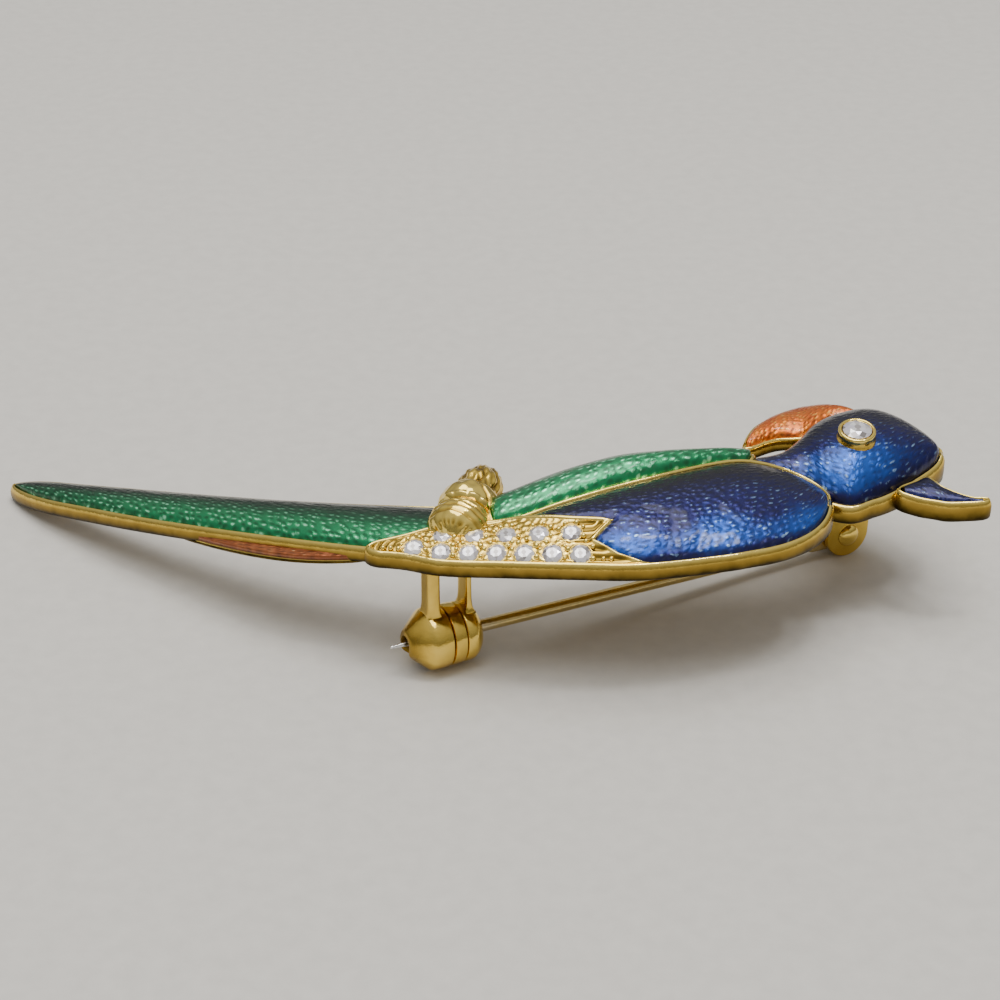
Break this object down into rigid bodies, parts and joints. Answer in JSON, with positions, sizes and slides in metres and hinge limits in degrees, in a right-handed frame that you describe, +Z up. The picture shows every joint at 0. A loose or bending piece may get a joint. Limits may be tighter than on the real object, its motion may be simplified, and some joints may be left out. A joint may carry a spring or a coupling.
{
  "type": "figural animal brooch",
  "caption": "Gold-plated crested parrot brooch with glossy green, blue and orange enamel, crystals, a hinged pin stem and a turning safety catch, lying on its back.",
  "frame": {"origin": "middle of the brooch on the surface that it lies on, back down", "axes": "+X from the tail tip to the crest, +Y from the wing side to the belly side, +Z up out of the enamelled front"},
  "size_m": [0.0764, 0.028, 0.0143],
  "materials": {
    "gold_plate": "polished gold plate on cast brass",
    "pin_wire": "drawn steel wire with a thin gold wash that is worn off at the point",
    "green_enamel": "see-through green enamel over hammered metal",
    "blue_enamel": "see-through blue enamel over hammered metal",
    "orange_enamel": "mottled orange enamel",
    "copper_enamel": "copper brown enamel",
    "crystal": "clear cut crystal with a foiled back"
  },
  "bodies": {
    "brooch": {"casting": "gold_plate", "enamel_tail": "green_enamel", "enamel_tail_feather": "copper_enamel", "enamel_belly": "green_enamel", "enamel_wing": "blue_enamel", "enamel_head": "blue_enamel", "enamel_beak": "orange_enamel", "enamel_crest": "blue_enamel", "stone_01": "crystal", "stone_02": "crystal", "stone_03": "crystal", "stone_04": "crystal", "stone_05": "crystal", "stone_06": "crystal", "stone_07": "crystal", "stone_08": "crystal", "stone_09": "crystal", "stone_10": "crystal", "stone_11": "crystal", "stone_12": "crystal", "eye_stone": "crystal", "hinge_rivet": "gold_plate"},
    "pin": {"pin_stem": "pin_wire"},
    "rotor": {"catch_rotor": "gold_plate"}
  },
  "joints": [
    {"name": "pin_hinge", "type": "hinge", "parent": "brooch", "child": "pin", "pos_m": [0.02866, 0.00573, 0.00185], "axis": [0.4625, -0.8866, 0], "range_deg": [0, 80]},
    {"name": "catch_turn", "type": "hinge", "parent": "brooch", "child": "rotor", "pos_m": [-0.00246, -0.0105, 0.00235], "axis": [0.8859, 0.4621, -0.0399], "range_deg": [0, 150]}
  ]
}
